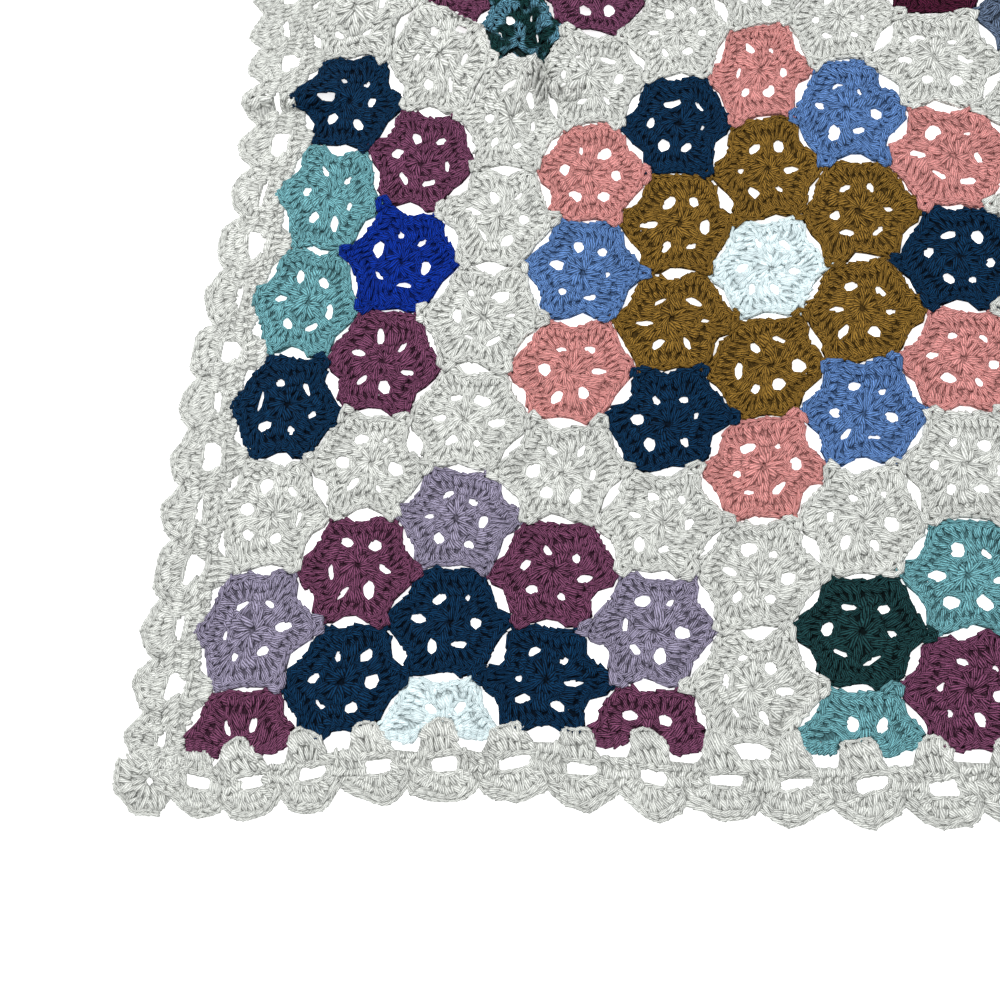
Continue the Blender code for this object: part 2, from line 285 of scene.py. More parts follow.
def round_motif(angle, share):
    """Places in every motif, as an array of motifs by points by 2, of angles in degrees from its right-hand
    corner and shares of the way from its middle to its rim."""
    angle, share = np.radians(np.array(angle, float)), np.array(share, float)
    turned = angle + TWIST[:, None] * (1 - smooth(share, *TWIST_FADES))
    sixth = math.pi / 3
    side = np.floor(turned / sixth).astype(int) % 6
    off = turned % sixth - sixth / 2
    along = np.abs(np.tan(off)) * PITCH / CORNER
    sag = (np.take_along_axis(SAGS, side, axis=1) + OVERLAP) * (1 - smooth(along, *GAP_FADES))
    blunt = np.take_along_axis(BACK, np.round(turned / sixth).astype(int) % 6, axis=1)
    rim = (PITCH / 2 + OVERLAP - sag) / np.cos(off) - blunt * smooth(along, *BLUNT_GROWS)
    radius = share * (INNER + (rim - INNER) * smooth(share, *ROUND_FADES))
    return CENTRES[:, None] + radius[:, :, None] * np.stack([np.cos(turned), np.sin(turned)], axis=2)


def in_motif(angle, share):
    """The same, with each motif's holes drawn larger or smaller."""
    place = round_motif(angle, share)
    moved = place.copy()
    middles = round_motif(np.arange(6) * 60, np.full(6, HOLE_OUT))
    for hole in range(6):
        middle = middles[:, hole, None]
        out = middle - CENTRES[:, None]
        out /= np.linalg.norm(out, axis=2)[:, :, None]
        aside = out[:, :, ::-1] * (-1, 1)
        off = place - middle
        share_here = np.exp(-(off**2).sum(axis=2) / HOLE_REACH**2)[:, :, None]
        stretch = HOLE_STRETCH[:, hole, None]
        change = (off * out).sum(axis=2)[:, :, None] * out * stretch[:, :, :1]
        change += (off * aside).sum(axis=2)[:, :, None] * aside * stretch[:, :, 1:]
        moved += share_here * (change + HOLE_SHIFT[:, hole, None])
    return moved


# ---- Ground of the motifs --------------------------------------------
# Between and under the runs of yarn the crocheted fabric is a thin layer in each motif's own yarn, with the
# six holes between the pairs of first-round stitches. Its back shows the bars that the stitches end in.
# Its front is painted darker than its yarn, painted shade for where it lies deep between the runs; the bars
# on its back are painted darker towards their edges, painted shade where they meet.
GROUND_MIDDLE, GROUND_THICK = 0.0018, 0.0012
RINGS = (0.36, 0.58, 0.80, 0.975)
SPOKES = 30
HOLE_CELLS = (0, 4)  # of the five in each sixth, next to the corner's direction
BARS_ROUND, BARS_OUT = 36, 9  # on the back of a motif: round it, and from its middle to its rim


def linear(colour):
    """Linear light for an sRGB colour given in 0 to 255."""
    return tuple((c / 255 / 12.92) if c < 11 else ((c / 255 + 0.055) / 1.055) ** 2.4 for c in colour)


def opaque(colour):
    """The same with an alpha of one."""
    return (*linear(colour), 1.0)


def painted_shade_between_runs(colour):
    """Yarn colour with painted shade between the runs: dark yarn is darkened, pale yarn a little brightened.
    """
    # painted shade between the runs: deep for dark yarn, slight for pale, which passes more light on
    palest = max(linear(colour))
    return (*(c * min(0.22 + 1.25 * palest, 1 / palest) for c in linear(colour)), 1.0)


def feed(tree, node, inputs):
    """Feeds a node's inputs, each by its name, with _ for a space, or by its number, as _1."""
    for name, value in inputs.items():
        socket = node.inputs[int(name[1:]) if name[1:].isdigit() else name.replace("_", " ")]
        value = value.link if isinstance(value, Sock) else value
        if isinstance(value, bpy.types.NodeSocket):
            tree.links.new(value, socket)
        else:
            socket.default_value = value


def add_node(tree, kind, settings, inputs):
    node = tree.nodes.new(kind)
    for name, value in (settings or {}).items():
        setattr(node, name, value)
    feed(tree, node, inputs)
    return node


class Sock:
    """A shader socket that takes part in Python's arithmetic."""

    def __init__(self, tree, link):
        self.tree, self.link = tree, link

    def _math(self, operation, *values):
        inputs = {f"_{k}": value for k, value in enumerate(values)}
        node = add_node(self.tree, "ShaderNodeMath", {"operation": operation}, inputs)
        return Sock(self.tree, node.outputs[0])

    def __add__(self, other):
        return self._math("ADD", self, other)

    def __radd__(self, other):
        return self._math("ADD", other, self)

    def __sub__(self, other):
        return self._math("SUBTRACT", self, other)

    def __rsub__(self, other):
        return self._math("SUBTRACT", other, self)

    def __mul__(self, other):
        return self._math("MULTIPLY", self, other)

    def __rmul__(self, other):
        return self._math("MULTIPLY", other, self)

    def sine(self):
        return self._math("SINE", self)


class Finish:
    """A material in the making."""

    def __init__(self, name):
        self.material = bpy.data.materials.new(name)
        self.material.use_nodes = True
        self.tree = self.material.node_tree
        self.shader = self.tree.nodes["Principled BSDF"]

    def node(self, kind, settings=None, out=0, **inputs):
        return Sock(self.tree, add_node(self.tree, kind, settings, inputs).outputs[out])

    def set(self, **inputs):
        feed(self.tree, self.shader, inputs)

    def first_two(self, vector):
        """A vector's first two components."""
        return [self.node("ShaderNodeSeparateXYZ", out=k, _0=vector) for k in (0, 1)]

    def times(self, colour, shade):
        grey = self.node("ShaderNodeCombineColor", _0=shade, _1=shade, _2=shade)
        return self.node("ShaderNodeMix", {"data_type": "RGBA", "blend_type": "MULTIPLY"}, out=2,
                         _0=1.0, _6=colour, _7=grey)


SHEEN = 0.1  # cotton hardly shines


def painted_shade_cotton(name, colour=None):
    """The yarn deep between the runs: furry, its strands only just seen, and darkened to about half as
    painted shade between the runs. Without a colour it takes the mesh's."""
    f = Finish(name)
    place = f.node("ShaderNodeTexCoord", out=3)
    fur = f.node("ShaderNodeTexNoise", _0=place, Scale=650.0, Detail=3.0)
    drift = f.node("ShaderNodeTexNoise", _0=place, Scale=90.0, Detail=1.0)
    x, y = f.first_two(place)
    strands = (x * 2300.0 + y * 1500.0 + drift * 16.0).sine()
    yarn = colour or f.node("ShaderNodeVertexColor", {"layer_name": "yarn_colour"})
    # painted shade: the colour is darkened to about half, for the shade deep between the runs
    f.set(Base_Color=f.times(yarn, fur * 0.6 + strands * 0.14 + 0.22), Roughness=0.95,
          Normal=f.node("ShaderNodeBump", Distance=0.0008, Height=fur + strands * 0.4),
          Specular_IOR_Level=SHEEN)
    return f.material


def cotton_back(name, colour=None):
    """The back of the crochet, where every stitch ends in a small bar, painted darker towards its edges as
    painted shade where the bars meet. The bars follow the mesh's rounds, in its yarns, or where a colour is
    given lie evenly in that."""
    f = Finish(name)
    place = f.node("ShaderNodeTexCoord", out=3)
    if colour:
        bars = f.node("ShaderNodeTexVoronoi", Vector=place, Scale=210.0)
    else:
        colour = f.node("ShaderNodeVertexColor", {"layer_name": "whole_yarn_colour"})
        rounds = f.node("ShaderNodeUVMap", {"uv_map": "rounds"})
        bars = f.node("ShaderNodeTexVoronoi", Vector=rounds, Scale=1.0)
    fuzz = f.node("ShaderNodeTexNoise", _0=place, Scale=1300.0, Detail=3.0)
    x, y = f.first_two(place)
    strands = (x * 3300.0 - y * 2100.0 + fuzz * 5.0 + bars * 9.0).sine()
    # painted shade: each bar darkens towards its edges, where the bars meet
    shade = 1.15 - bars * 0.9 + strands * 0.16 + (fuzz - 0.5) * 0.5
    f.set(Base_Color=f.times(colour, shade), Roughness=0.95,
          Normal=f.node("ShaderNodeBump", Distance=0.0016, Height=fuzz * 0.25 + strands * 0.1 - bars),
          Specular_IOR_Level=SHEEN)
    return f.material


def motif_ground():
    """The ground of every motif as one mesh, with its yarns' colours for the back and, with painted shade,
    the front.
    """
    angles = np.arange(SPOKES) * 360 / SPOKES
    rings = [in_motif([0], [0])] + [in_motif(angles, np.full(SPOKES, share)) for share in RINGS]
    flat = np.concatenate(rings, axis=1)
    mesh = bpy.data.meshes.new("motif_ground")
    bm = bmesh.new()
    front = bm.loops.layers.float_color.new("yarn_colour")
    back = bm.loops.layers.float_color.new("whole_yarn_colour")
    rounds = bm.loops.layers.uv.new("rounds")
    for i, half in enumerate(HALF):
        points = [bm.verts.new((x, y, GROUND_MIDDLE)) for x, y in flat[i]]
        # Each cell is its corners, and for each its spoke and ring.
        cells = [((points[0], points[1 + k], points[1 + (k + 1) % SPOKES]), ((k, 0), (k, 1), (k + 1, 1)))
                 for k in range(SPOKES)]
        for ring in range(len(RINGS) - 1):
            for k in range(SPOKES):
                cell, sixth = k % (SPOKES // 6), ((k + 1) // (SPOKES // 6)) % 6
                if ring == 0 and cell in HOLE_CELLS and not (half and sixth in (0, 3)):
                    continue
                a = 1 + ring * SPOKES
                b, k2 = a + SPOKES, (k + 1) % SPOKES
                cells.append(((points[a + k], points[b + k], points[b + k2], points[a + k2]),
                              ((k, ring + 1), (k, ring + 2), (k + 1, ring + 2), (k + 1, ring + 1))))
        yarn = YARNS[YARN_OF[i]][0]
        for cell, places in cells:
            if half and sum(v.co.y - CENTRES[i][1] for v in cell) * half < 0:
                continue
            for loop, (spoke, ring) in zip(bm.faces.new(cell).loops, places):
                loop[front], loop[back] = painted_shade_between_runs(yarn), opaque(yarn)
                loop[rounds].uv = spoke * BARS_ROUND / SPOKES, (0, *RINGS)[ring] * BARS_OUT
    bmesh.ops.delete(bm, geom=[v for v in bm.verts if not v.link_faces], context="VERTS")
    bm.to_mesh(mesh)
    bm.free()
    return mesh


def placed(name, data):
    """A new object in the scene, at the origin."""
    obj = bpy.data.objects.new(name, data)
    bpy.context.collection.objects.link(obj)
    return obj


ground = placed("motif_ground", motif_ground())
move_points(ground.data, lay)
# the front's material paints shade between the runs, the back's paints shade where the bars meet
ground.data.materials.append(painted_shade_cotton("painted_shade_motif_cotton"))
ground.data.materials.append(cotton_back("back_of_motif_cotton"))
thickness = ground.modifiers.new("thickness", "SOLIDIFY")
thickness.thickness, thickness.offset, thickness.material_offset = GROUND_THICK, 0.0, 1
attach(ground, "root")
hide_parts("joined_motifs")

# ---- Stitches of the motifs ------------------------------------------
# A stitch is a few runs of plied cotton yarn that lie side by side and dive under the next ones. Each run
# is one small spindle. A motif is the same sixth six times: the lining of a hole, the first round's tops
# and pair of tall stitches, the second round's tall stitches, five of them fanned out of the hole, and the
# braid of chain stitches that rims it. Loops join it to its neighbours at some of its corners.
RUN_WIDE, RUN_THICK, RUN_MIDDLE = 0.0037, 0.0029, 0.0023
RUN_SIDES = 5
STATIONS = ((0.13, 0.88), (0.87, 0.88))  # share along the run, share of its full width
UNEVEN_PLACE, UNEVEN_TURN, UNEVEN_SIZE = 0.0004, 0.18, 0.14  # in metres, radians and shares
BOW = 0.22  # how far the middle of a run rises over its ends, in thicknesses
PLIES, PLY_TURNS = 6, 2.2


def run_of_yarn():
    """The spindle that every visible run of yarn is: one long, one wide and one thick."""
    points, faces, uvs = [(-0.5, 0.0, -BOW / 2)], [], []
    for t, size in STATIONS:
        for k in range(RUN_SIDES):
            a = math.tau * (k + 0.25) / RUN_SIDES
            points.append((t - 0.5, size * math.cos(a) / 2, size * math.sin(a) / 2 + BOW / 2))
    points.append((0.5, 0.0, -BOW / 2))
    for k in range(RUN_SIDES):
        n = (k + 1) % RUN_SIDES
        v, w = k / RUN_SIDES, (k + 1) / RUN_SIDES
        tip = (v + w) / 2
        (t, _), (s, _) = STATIONS
        near, far = 1 + k, 1 + RUN_SIDES + k
        near_next, far_next = 1 + n, 1 + RUN_SIDES + n
        faces += [(0, near_next, near), (near, near_next, far_next, far), (far, far_next, len(points) - 1)]
        uvs += [(0, tip), (t, w), (t, v), (t, v), (t, w), (s, w), (s, v), (s, v), (s, w), (1, tip)]
    mesh = bpy.data.meshes.new("run")
    mesh.from_pydata(points, [], faces)
    mesh.uv_layers.new(name="ply").data.foreach_set("uv", np.array(uvs, np.float32).ravel())
    mesh.polygons.foreach_set("use_smooth", [True] * len(faces))
    return bpy.data.objects.new("run", mesh)


def stitching_tree():
    """Geometry Nodes: sets a run of yarn on every point, turned and sized as the point says and a little
    uneven, and makes them one mesh in one yarn."""
    tree = bpy.data.node_groups.new("stitching", "GeometryNodeTree")
    for name, kind in (("Geometry", "Geometry"), ("Run", "Object"), ("Uneven turn", "Float"),
                       ("Uneven size", "Float"), ("Seed", "Int"), ("Yarn", "Material")):
        tree.interface.new_socket(name, in_out="INPUT", socket_type="NodeSocket" + kind)
    tree.interface.new_socket("Geometry", in_out="OUTPUT", socket_type="NodeSocketGeometry")

    def node(kind, settings=None, out=0, **inputs):
        return add_node(tree, kind, settings, inputs).outputs[out]

    def vector(operation, **inputs):
        return node("ShaderNodeVectorMath", {"operation": operation}, **inputs)

    given = tree.nodes.new("NodeGroupInput").outputs
    heading = node("GeometryNodeInputNamedAttribute", {"data_type": "FLOAT"}, Name="heading")
    size = node("GeometryNodeInputNamedAttribute", {"data_type": "FLOAT_VECTOR"}, Name="size")
    chance = {"data_type": "FLOAT_VECTOR"}
    next_seed = node("FunctionNodeIntegerMath", {"operation": "ADD"}, _0=given["Seed"], _1=1)
    tilt = node("FunctionNodeRandomValue", chance, _0=(-1, -1, -1), _1=(1, 1, 1), Seed=given["Seed"])
    grow = node("FunctionNodeRandomValue", chance, _0=(-1, -1, -1), _1=(1, 1, 1), Seed=next_seed)
    turned = vector("ADD", _0=node("ShaderNodeCombineXYZ", Z=heading),
                    _1=vector("SCALE", _0=tilt, Scale=given["Uneven turn"]))
    grown = vector("MULTIPLY_ADD", _0=vector("SCALE", _0=grow, Scale=given["Uneven size"]), _1=size, _2=size)
    run_mesh = node("GeometryNodeObjectInfo", out=4, Object=given["Run"])
    runs = node("GeometryNodeInstanceOnPoints", Points=given["Geometry"], Instance=run_mesh,
                Rotation=turned, Scale=grown)
    real = node("GeometryNodeRealizeInstances", Geometry=runs)
    yarned = node("GeometryNodeSetMaterial", Geometry=real, Material=given["Yarn"])
    add_node(tree, "NodeGroupOutput", None, {"Geometry": yarned})
    return tree


stitching = stitching_tree()
yarn_run = run_of_yarn()


def crochet(name, runs, yarn, seed, uneven_turn=UNEVEN_TURN):
    """A piece of many runs of one yarn. Runs has a row for each: its start and end in the flat pattern,
    its width, thickness and lift, and its tone."""
    along = runs[:, 2:4] - runs[:, 0:2]
    places = np.column_stack([(runs[:, 0:2] + runs[:, 2:4]) / 2, RUN_MIDDLE + runs[:, 6]])
    places[:, :2] += rng.uniform(-UNEVEN_PLACE, UNEVEN_PLACE, (len(runs), 2))
    points = bpy.data.meshes.new("points")
    points.vertices.add(len(runs))
    points.vertices.foreach_set("co", places.astype(np.float32).ravel())
    for attribute, kind, field, values in (
        ("heading", "FLOAT", "value", np.arctan2(along[:, 1], along[:, 0])),
        ("size", "FLOAT_VECTOR", "vector", np.column_stack([np.linalg.norm(along, axis=1), runs[:, 4:6]])),
        ("tone", "FLOAT", "value", runs[:, 7]),
    ):
        layer = points.attributes.new(attribute, kind, "POINT")
        layer.data.foreach_set(field, values.astype(np.float32).ravel())
    obj = placed(name, points)
    modifier = obj.modifiers.new("stitching", "NODES")
    modifier.node_group = stitching
    values = {"Run": yarn_run, "Uneven turn": uneven_turn, "Uneven size": UNEVEN_SIZE, "Seed": seed,
              "Yarn": yarn}
    for item in stitching.interface.items_tree:
        if item.name in values:
            modifier[item.identifier] = values[item.name]
    mesh = bpy.data.meshes.new_from_object(obj.evaluated_get(bpy.context.evaluated_depsgraph_get()))
    obj.modifiers.remove(modifier)
    obj.data = mesh
    bpy.data.meshes.remove(points)
    mesh.name = name
    move_points(mesh, lay)
    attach(obj, "root")
    return obj


def cotton(name, colour, second=None):
    """Matt plied cotton: fine slanting plies along each run, painted as streaks of highlight on their crowns
    and shade between them, deeper in dark yarn; stitches a shade apart; painted shade where a run dives
    under the next. A mottled yarn has a second colour."""
    f = Finish(name)
    u, v = f.first_two(f.node("ShaderNodeUVMap", {"uv_map": "ply"}))
    place = f.node("ShaderNodeTexCoord", out=3)
    fuzz = f.node("ShaderNodeTexNoise", _0=place, Scale=1500.0, Detail=3.0)
    patch = f.node("ShaderNodeTexNoise", _0=place, Scale=38.0, Detail=2.0)
    tone = f.node("ShaderNodeAttribute", {"attribute_name": "tone"}, out=2)
    # painted highlight and painted shade: the plies' lit crowns and shaded grooves as light and dark streaks
    ply = ((u * PLY_TURNS + v * float(PLIES) + fuzz * 0.5) * math.tau).sine()
    # painted shade: each run darkens towards its ends, where it dives under the next
    from_centre = (u - 0.5) * (u - 0.5) * 4.0
    end = from_centre * from_centre
    depth = 0.90 - 0.76 * max(linear(colour))
    light = 0.84 + ply * depth + tone * 0.12 + (patch - 0.5) * 0.2 + (fuzz - 0.5) * depth * 2.0
    base = opaque(colour)
    if second:
        blotch = f.node("ShaderNodeTexNoise", _0=place, Scale=60.0, Detail=1.0)
        share = f.node("ShaderNodeMapRange", Value=blotch, From_Min=0.48, From_Max=0.56)
        base = f.node("ShaderNodeMix", {"data_type": "RGBA"}, out=2, _0=share, _6=base, _7=opaque(second))
    f.set(Base_Color=f.times(base, light * (1.01 - end * (0.20 + depth * 1.2))), Roughness=0.9,
          Normal=f.node("ShaderNodeBump", Distance=0.0005, Strength=0.8, Height=ply * 0.5 + fuzz),
          Specular_IOR_Level=SHEEN)
    return f.material


def run(start, end, wide=1.0, lift=0.0):
    return (*start, *end, wide * RUN_WIDE, RUN_THICK, lift)


# A tall stitch: from and to which share of it its post and its V run, how far open the V is at either end,
# how high it lies over the post, and how much its one run lies over the other.
POST, VEE, VEE_OPEN, VEE_LIFT, VEE_CROSS = (-0.03, 0.62), (0.42, 1.02), (0.15, 0.75), 0.0004, 0.0001
# A chain stitch, in shares of its length: how far back its V starts, how far on it ends, and how far open
# it is where it starts. The runs of a rope reach on into each other.
CHAIN_BACK, CHAIN_ON, CHAIN_OPEN, ROPE_ON, CHAIN_WIDE = 0.10, 0.30, 0.25, 0.35, 0.95


def tall_stitch(foot, head, foot_half, head_half, lift=0.0, wide=1.0):
    """The runs of a tall stitch: its post, and over it the two that open into a V. The halves are half its
    width at either end."""
    foot, head = np.array(foot, float), np.array(head, float)
    aside = np.array([foot[1] - head[1], head[0] - foot[0]]) / math.dist(foot, head)

    def at(share, way):
        return foot + share * (head - foot) + way * (foot_half + share * (head_half - foot_half)) * aside

    rows = [run(at(POST[0], 0), at(POST[1], 0), wide, lift)]
    for way in (-1, 1):
        start, end = at(VEE[0], VEE_OPEN[0] * way), at(VEE[1], VEE_OPEN[1] * way)
        rows.append(run(start, end, wide, lift + VEE_LIFT + way * VEE_CROSS))
    return rows


def braid(points, half, lift=0.0007):
    """The runs of a row of chain stitches through those points: a V at each, open ahead."""
    points = np.array(points, float)
    rows = []
    for a, b in zip(points, points[1:]):
        aside = np.array([a[1] - b[1], b[0] - a[0]]) / math.dist(a, b) * half
        for way in (-1, 1):
            start = a - CHAIN_BACK * (b - a) + CHAIN_OPEN * way * aside
            rows.append(run(start, b + CHAIN_ON * (b - a) + way * aside, CHAIN_WIDE, lift))
    return rows


def rope(points, lift=0.0):
    """Runs laid end over end through those points."""
    points = np.array(points, float)
    return [run(a - ROPE_ON * (b - a), b + ROPE_ON * (b - a), CHAIN_WIDE, lift)
            for a, b in zip(points, points[1:])]


def from_middle(degrees, share):
    """A place in a motif drawn as a disc of radius INNER."""
    return share * INNER * np.array([math.cos(math.radians(degrees)), math.sin(math.radians(degrees))])


def beside_hole(bearing, distance):
    """The same, from the middle of the hole on its right."""
    a = math.radians(bearing)
    return np.array([HOLE_OUT * INNER + distance * math.cos(a), distance * math.sin(a)])


def as_turns(rows):
    """The rows with their places in degrees and shares."""
    rows = np.array(rows)
    for k in (0, 2):
        x, y = rows[:, k].copy(), rows[:, k + 1].copy()
        rows[:, k], rows[:, k + 1] = np.degrees(np.arctan2(y, x)), np.hypot(x, y) / INNER
    return rows


# A hole's lining: the bearings of its runs from the hole's middle, how far each goes to either side, and
# how far from the middle it lies towards the rim and elsewhere.
LINED, LINED_HALF, LINED_OUT, LINED_IN = (-50, 0, 50, 95, 137, 180, 223, 265), 38, 0.0061, 0.0066
# Each round, in degrees from the corner's direction and shares of the way from the middle to the rim.
CENTRE_RUNS, CENTRE_TURN, CENTRE_TOPS = (0.03, 0.32), 5, ((-20, 0.375), (0, 0.335), (20, 0.375))
PAIR, FIRST_ROUND = (24.5, 35.5), (0.20, 0.64)
BETWEEN_HOLES, SECOND_ROUND = 30, (0.58, 0.90)
RIM, RIM_STITCHES, CORNER_RUN = 0.912, 7, (6.5, 0.93)
# The stitches fanned out of a hole: how far their feet are from its middle, at bearings up to that to
# either side, and how far their heads turn to either side about the motif's middle.
FANNED, FAN_FOOT, FAN_BEARING, FAN_TURN = 5, 0.0044, 78, 22


def sixth_of_motif():
    """The runs of the sixth of a motif about its right-hand corner. The lining of its hole comes first."""
    rows = []
    for bearing in LINED:
        away = LINED_OUT if abs(bearing) < 90 else LINED_IN
        start, end = (beside_hole(bearing + turn, away) for turn in (-LINED_HALF, LINED_HALF))
        rows.append(run(start, end, wide=0.9, lift=-0.0002))
    for angle in (0, BETWEEN_HOLES):
        start, end = from_middle(angle, CENTRE_RUNS[0]), from_middle(angle + CENTRE_TURN, CENTRE_RUNS[1])
        rows.append(run(start, end, wide=1.35))
    rows += braid([from_middle(*top) for top in CENTRE_TOPS], half=0.0015, lift=-0.0001)
    for angle in PAIR:
        foot, head = (from_middle(angle, share) for share in FIRST_ROUND)
        rows += tall_stitch(foot, head, foot_half=0.0008, head_half=0.0020, lift=0.0002, wide=1.25)
    bearings, angles = (np.linspace(-half, half, FANNED) for half in (FAN_BEARING, FAN_TURN))
    for bearing, angle in zip(bearings, angles):
        foot, head = beside_hole(bearing, FAN_FOOT), from_middle(angle, SECOND_ROUND[1])
        rows += tall_stitch(foot, head, foot_half=0.0012, head_half=0.0028, lift=0.0001, wide=1.1)
    foot, head = (from_middle(BETWEEN_HOLES, share) for share in SECOND_ROUND)
    rows += tall_stitch(foot, head, foot_half=0.0016, head_half=0.0028, lift=0.0001, wide=1.1)
    rim = [from_middle(angle, RIM) for angle in np.linspace(-30, 30, RIM_STITCHES + 1)]
    rows += braid(rim, half=0.0022, lift=0.0010)
    for way in (-1, 1):
        start, end = from_middle(CORNER_RUN[0] * way, CORNER_RUN[1]), from_middle(0, 1.00)
        rows.append(run(start, end, lift=0.0007))
    return as_turns(rows)


EAR_RUNS = [
    # start in degrees and share of the way out, end in both, lift
    (10.0, 0.95, 3.0, 1.08, 0.0024),
    (7.0, 0.92, 0.6, 1.06, 0.0021),
]
EAR_CAP, EAR_CAP_OUT, EAR_CAP_LIFT = 4.6, 1.055, 0.0026


def joining_ear():
    """The runs of the loops that join a motif to the two others at its right-hand corner."""
    rows = []
    for way in (-1, 1):
        for start, start_out, end, end_out, lift in EAR_RUNS:
            rows.append(run(from_middle(start * way, start_out), from_middle(end * way, end_out), 1.0, lift))
    cap = [from_middle(EAR_CAP * way, EAR_CAP_OUT) for way in (1, -1)]
    rows.append(run(*cap, CHAIN_WIDE, EAR_CAP_LIFT))
    return as_turns(rows)


CUT_EDGE = ROWS / 2 * PITCH  # where the half motifs are cut
LEG = 0.0040  # how far a half motif's legs reach past that
LEG_TIP_FROM, LEG_TIP_LONG, LEG_TIP_ROUND = 0.030, 0.013, 0.008
# The braid along a cut edge: its stitches' places from the motif's middle, and its two rows.
CUT_BRAID, CUT_ROWS = np.array((0.012, 0.017, 0.022, 0.027, 0.032, 0.037)), (0.0, 0.0034)
DOME, DOME_LAP = 0.0111, 0.002  # one of the edging's domes, and how far a motif's runs lie over it


def leg_end(x):
    """How far in from its cut edge a half motif's runs end, that far along the edge from its middle: a
    little past it, and rounded off at the legs' tips."""
    return LEG_TIP_ROUND * np.clip((x - LEG_TIP_FROM) / LEG_TIP_LONG, 0, 1) ** 2 - LEG / 2


def motif_runs(chosen):
    """The runs of the chosen motifs in the flat pattern. Where one of the edging's domes reaches into a
    motif, or a half motif is cut, its runs are left out, and the braid goes along the cut."""
    sixth, ear = sixth_of_motif(), joining_ear()
    rows = np.concatenate([np.tile(sixth, (6, 1)), np.tile(ear, (6, 1))])
    turns = 60 * np.concatenate([np.repeat(np.arange(6), len(sixth)), np.repeat(np.arange(6), len(ear))])
    start, end = in_motif(rows[:, 0] + turns, rows[:, 1]), in_motif(rows[:, 2] + turns, rows[:, 3])
    # A half motif has no hole at its cut, so no lining there.
    at_cut = np.zeros(len(rows), bool)
    for first in (0, 3 * len(sixth)):
        at_cut[first : first + len(LINED)] = True
    found = []
    for i in chosen:
        has = np.ones(len(rows), bool)
        has[6 * len(sixth) :] = np.repeat(JOINS[i], len(ear))
        own = np.concatenate([start[i], end[i], rows[:, 4:]], axis=1)[has]
        middle = (own[:, 0:2] + own[:, 2:4]) / 2
        if HALF[i]:
            off = (middle - CENTRES[i]) * (1, HALF[i])
            own = own[(off[:, 1] > leg_end(np.abs(off[:, 0]))) & ~at_cut[has]]
            for way in (-1, 1):
                for row in CUT_ROWS:
                    cut = np.column_stack([way * CUT_BRAID, HALF[i] * (leg_end(CUT_BRAID) + row)])
                    own = np.concatenate([own, braid(CENTRES[i] + cut, half=0.0014)])
            middle = (own[:, 0:2] + own[:, 2:4]) / 2
        to_dome = np.abs((middle[:, 0] / CORNER) % 1 - 0.5) * CORNER
        from_cut = CUT_EDGE - np.abs(middle[:, 1])
        found.append(own[np.hypot(to_dome, from_cut) > DOME - DOME_LAP])
    found = np.concatenate(found)
    return np.column_stack([found, rng.uniform(-1, 1, len(found))])


MOST_MOTIFS = 24  # in one piece
for number, (yarn, (colour, second)) in enumerate(YARNS.items()):
    own = [i for i, name in enumerate(YARN_OF) if name == yarn]
    finish = cotton(yarn + "_cotton", colour, second)
    for first in range(0, len(own), MOST_MOTIFS):
        name = f"{yarn}_motifs" + (f"_{first // MOST_MOTIFS + 1}" if len(own) > MOST_MOTIFS else "")
        runs = motif_runs(own[first : first + MOST_MOTIFS])
        crochet(name, runs, finish, 10 * number + first)

# ---- Ground of the edging --------------------------------------------
# The edging's fabric is as thin as the motifs', and crocheted onto them. It keeps the outline, domes and
# windows of the frame's edging, and only its thickness differs.
HALFWAY_UP = 0.002  # between the underside and the top of the frame's edging
EDGING_OVER = 0.0002  # how far its ground lies over the motifs'
SAME_POINT = 0.00001

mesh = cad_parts["scalloped_edging"].data.copy()
mesh.name = "edging_ground"
bm = bmesh.new()
bm.from_mesh(mesh)
bmesh.ops.remove_doubles(bm, verts=bm.verts, dist=SAME_POINT)
bm.to_mesh(mesh)
bm.free()


def thinned(points):
    """The frame's points, with its underside and its top brought together to the ground's."""
    flat = points[:, :2] + MIDDLE
    on_top = points[:, 2] - under(*flat.T)[:, 2] > HALFWAY_UP
    middle = GROUND_MIDDLE + EDGING_OVER
    return settle(np.column_stack([flat, middle + np.where(on_top, 0.5, -0.5) * GROUND_THICK]))


move_points(mesh, thinned)
mesh.polygons.foreach_set("use_smooth", [False] * len(mesh.polygons))
mesh.materials.clear()
# the top has painted shade between the runs, the underside painted shade where the bars meet
mesh.materials.append(painted_shade_cotton("painted_shade_oatmeal_cotton", painted_shade_between_runs(YARNS["oatmeal"][0])))
mesh.materials.append(cotton_back("back_of_oatmeal_cotton", opaque(YARNS["oatmeal"][0])))
mesh.polygons.foreach_set("material_index", [int(face.normal.z < -0.5) for face in mesh.polygons])
edging_ground = placed("edging_ground", mesh)
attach(edging_ground, "root")
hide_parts("scalloped_edging")

# ---- Stitches of the edging ------------------------------------------
# Three rounds in oatmeal yarn: domes and clusters against the motifs, clusters between the windows, and
# shells worked into the windows, which make the scallops.
SIDES = {
    # turn in degrees, scallops, their step, how far the last ones crowd inwards, creep along the side,
    # from a peak to its window's outer side
    "near": (0, 18, CORNER, 0.014, 0.006, 0.0238),
    "right": (90, 19, PITCH / 2, 0.006, 0.0, 0.0268),
    "far": (180, 18, CORNER, 0.014, 0.0, 0.0238),
    "left": (270, 19, PITCH / 2, 0.006, 0.0, 0.0268),
}
HALF_STITCH, NARROW_FOOT, EDGING_WIDE, EDGING_UNEVEN_TURN = 0.0026, 0.0012, 1.2, 0.24
SCALLOP_DEEP, SCALLOP_BEND = 0.0125, 1.7
SHELL_STITCHES, SHELL_FEET, SHELL_FEET_OUT = 8, 0.0105, 0.0008  # half their width, and how far off a window
